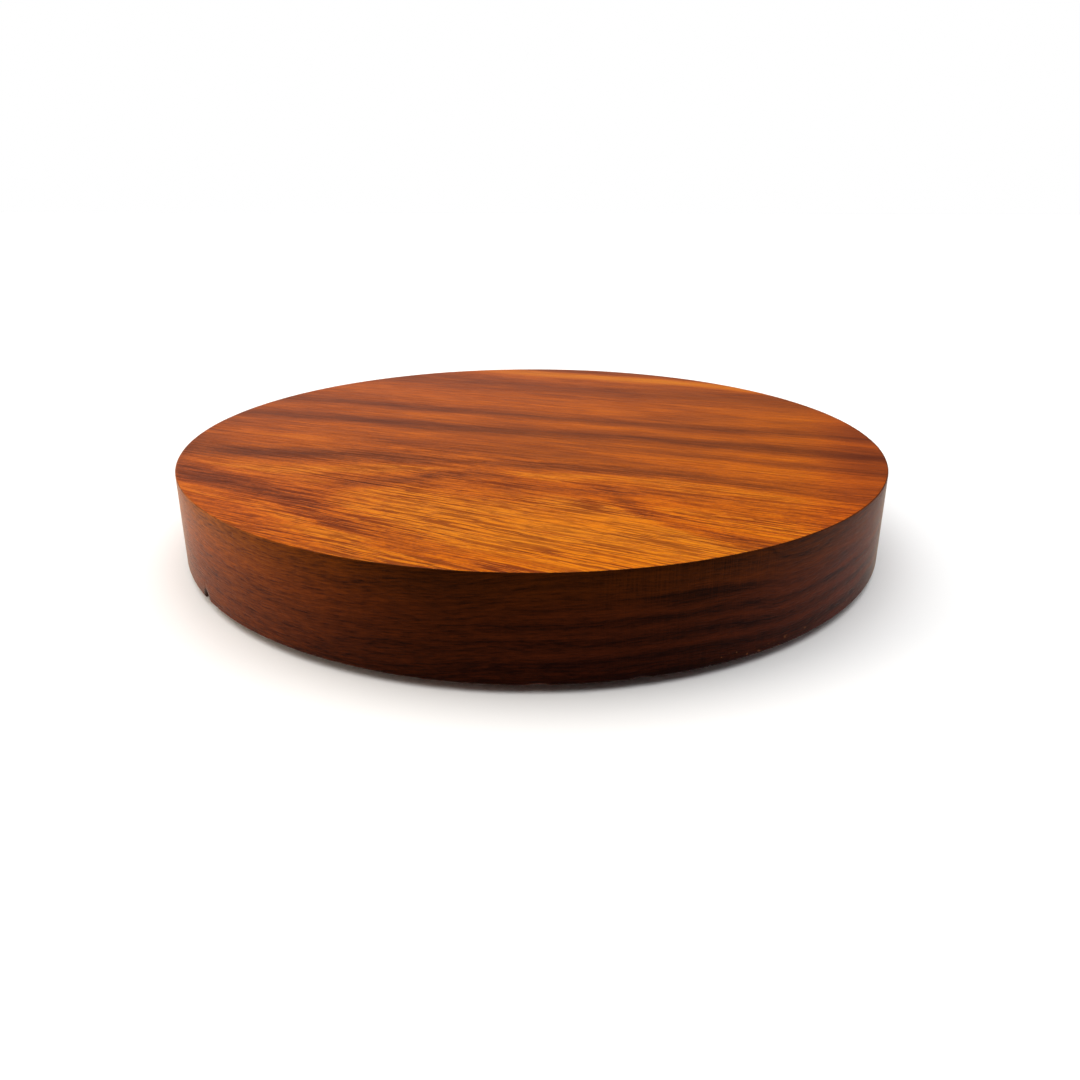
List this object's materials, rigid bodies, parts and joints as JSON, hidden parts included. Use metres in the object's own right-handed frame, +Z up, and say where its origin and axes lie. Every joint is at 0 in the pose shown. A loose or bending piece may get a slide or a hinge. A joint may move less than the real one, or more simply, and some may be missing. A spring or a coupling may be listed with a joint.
{
  "type": "turntable display stand",
  "caption": "Round solid-hardwood display turntable: a thick flat disc that turns freely on a slim ball slewing ring hidden in its underside, on a base plate with rubber feet.",
  "frame": {"origin": "middle of the rubber feet's footprint, on the surface the stand rests on", "axes": "+Z up along the spin axis, towards the wooden display face; +X through one of the feet"},
  "size_m": [0.25, 0.25, 0.0325],
  "materials": {
    "hardwood": "satin oiled",
    "aluminium": "turned",
    "bearing_steel": "polished",
    "zinc_steel": "zinc plated",
    "nylon": "natural moulded",
    "plywood": "sanded and sealed",
    "black_plastic": "moulded",
    "rubber": "moulded"
  },
  "bodies": {
    "base": {"base_plate": "plywood", "access_cap": "black_plastic", "outer_ring": "aluminium", "filler_plug": "aluminium", "filler_plug_pin": "zinc_steel", "outer_ring_screw_1": "zinc_steel", "outer_ring_screw_2": "zinc_steel", "outer_ring_screw_3": "zinc_steel", "outer_ring_screw_4": "zinc_steel", "outer_ring_screw_5": "zinc_steel", "outer_ring_screw_6": "zinc_steel", "foot_1": "rubber", "foot_2": "rubber", "foot_3": "rubber", "foot_4": "rubber", "foot_5": "rubber", "foot_6": "rubber", "foot_washer_1": "zinc_steel", "foot_washer_2": "zinc_steel", "foot_washer_3": "zinc_steel", "foot_washer_4": "zinc_steel", "foot_washer_5": "zinc_steel", "foot_washer_6": "zinc_steel", "foot_screw_1": "zinc_steel", "foot_screw_2": "zinc_steel", "foot_screw_3": "zinc_steel", "foot_screw_4": "zinc_steel", "foot_screw_5": "zinc_steel", "foot_screw_6": "zinc_steel"},
    "turntable": {"turntable_disc": "hardwood", "inner_ring": "aluminium", "inner_ring_screw_1": "zinc_steel", "inner_ring_screw_2": "zinc_steel", "inner_ring_screw_3": "zinc_steel", "inner_ring_screw_4": "zinc_steel", "inner_ring_screw_5": "zinc_steel", "inner_ring_screw_6": "zinc_steel"},
    "cage": {"ball_cage": "nylon", "bearing_balls": "bearing_steel"}
  },
  "joints": [
    {"name": "turntable_spin", "type": "hinge", "parent": "base", "child": "turntable", "pos_m": [0, 0, 0.01525], "axis": [0, 0, 1], "continuous": true},
    {"name": "ball_cage_spin", "type": "hinge", "parent": "base", "child": "cage", "pos_m": [0, 0, 0.01525], "axis": [0, 0, 1], "continuous": true}
  ],
  "couplings": [
    {"joint": "ball_cage_spin", "follows": "turntable_spin", "ratio": 0.4868}
  ]
}
